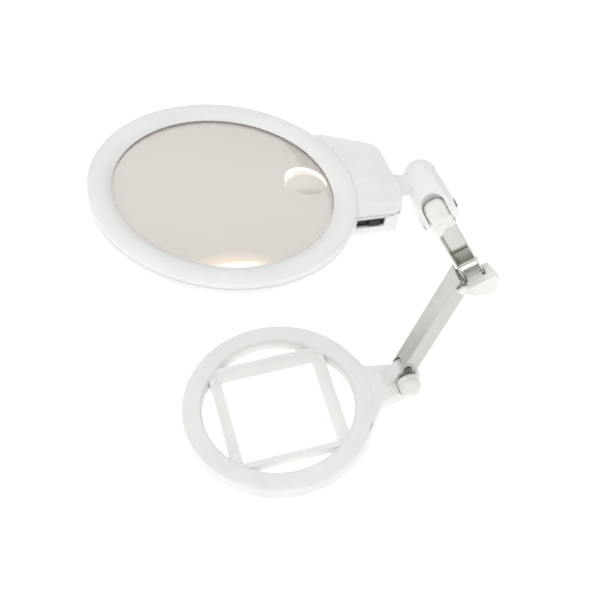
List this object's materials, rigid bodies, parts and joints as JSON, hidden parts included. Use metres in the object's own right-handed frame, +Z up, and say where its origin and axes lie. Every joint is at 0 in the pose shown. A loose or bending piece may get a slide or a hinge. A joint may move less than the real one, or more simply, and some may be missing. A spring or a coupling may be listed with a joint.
{
  "type": "low vision magnifier",
  "caption": "Folding stand magnifier: a lit round bifocal lens on a jointed steel arm over an open ring base.",
  "frame": {"origin": "on the base's flat underside, in the middle of its neck", "axes": "+X from the ring's centre to the base hinge, +Y away from the switch side, +Z up"},
  "size_m": [0.2483, 0.1643, 0.2395],
  "materials": {
    "white_abs": "smooth moulded ABS, semi-gloss",
    "ivory_acetal": "moulded acetal, semi-gloss",
    "satin_steel": "fine-grained satin",
    "chrome": "bright plated",
    "zinc_steel": "plated",
    "dark_steel": "blackened",
    "brass": "bright",
    "black_plastic": "matte",
    "acrylic": "polished",
    "led_resin": "clear resin dome",
    "board": "solder mask",
    "cell_jacket": "printed sleeve"
  },
  "bodies": {
    "base": {"base_ring": "white_abs", "base_hinge_pin": "zinc_steel", "base_hinge_knob": "ivory_acetal", "base_hinge_nut": "zinc_steel"},
    "lower_arm": {"lower_link": "satin_steel", "lower_link_stop_pin": "dark_steel"},
    "elbow": {"elbow_block": "ivory_acetal", "elbow_hinge_pin": "zinc_steel", "elbow_cross_pin": "zinc_steel"},
    "upper_arm": {"upper_link": "chrome", "upper_link_stop_pin": "chrome", "head_tongue": "ivory_acetal", "head_tongue_rivet": "zinc_steel"},
    "yoke": {"yoke": "white_abs", "yoke_screw": "dark_steel", "yoke_nut": "brass", "swivel_washer": "zinc_steel", "swivel_screw": "zinc_steel"},
    "head": {"head_rear_shell": "white_abs", "head_front_shell": "white_abs", "lens": "acrylic", "battery_1": "cell_jacket", "battery_2": "cell_jacket", "battery_3": "cell_jacket", "battery_spring_1": "zinc_steel", "battery_spring_2": "zinc_steel", "battery_spring_3": "zinc_steel", "contact_strip_left": "brass", "contact_strip_right": "brass", "circuit_board": "board", "led_left": "led_resin", "led_right": "led_resin", "switch_body": "black_plastic", "shell_screw_1": "zinc_steel", "shell_screw_2": "zinc_steel", "shell_screw_3": "zinc_steel", "shell_screw_4": "zinc_steel", "shell_screw_5": "zinc_steel"},
    "switch": {"switch_slider": "black_plastic"},
    "door": {"battery_door": "white_abs"}
  },
  "joints": [
    {"name": "base_hinge", "type": "hinge", "parent": "base", "child": "lower_arm", "pos_m": [0.0126, 0, 0.014], "axis": [0, 1, 0], "range_deg": [-25, 55]},
    {"name": "elbow_hinge", "type": "hinge", "parent": "lower_arm", "child": "elbow", "pos_m": [0.04272, 0, 0.10786], "axis": [0, 1, 0], "range_deg": [-10, 15]},
    {"name": "elbow_cross", "type": "hinge", "parent": "elbow", "child": "upper_arm", "pos_m": [0.05553, 0, 0.10876], "axis": [0.9164, 0, 0.4004], "range_deg": [-70, 0]},
    {"name": "yoke_hinge", "type": "hinge", "parent": "upper_arm", "child": "yoke", "pos_m": [0.0231, 0, 0.18299], "axis": [0.9164, 0, 0.4004], "range_deg": [-10, 90]},
    {"name": "head_swivel", "type": "hinge", "parent": "yoke", "child": "head", "pos_m": [-0.00373, 0.02017, 0.19175], "axis": [0.9825, 0.0261, -0.1845], "range_deg": [-90, 90]},
    {"name": "switch_slide", "type": "slide", "parent": "head", "child": "switch", "axis": [0.9825, 0.0261, -0.1845], "range_m": [-0.0055, 0]},
    {"name": "battery_door_release", "type": "slide", "parent": "head", "child": "door", "axis": [-0.1815, -0.0906, -0.9792], "range_m": [0, 0.012]}
  ]
}
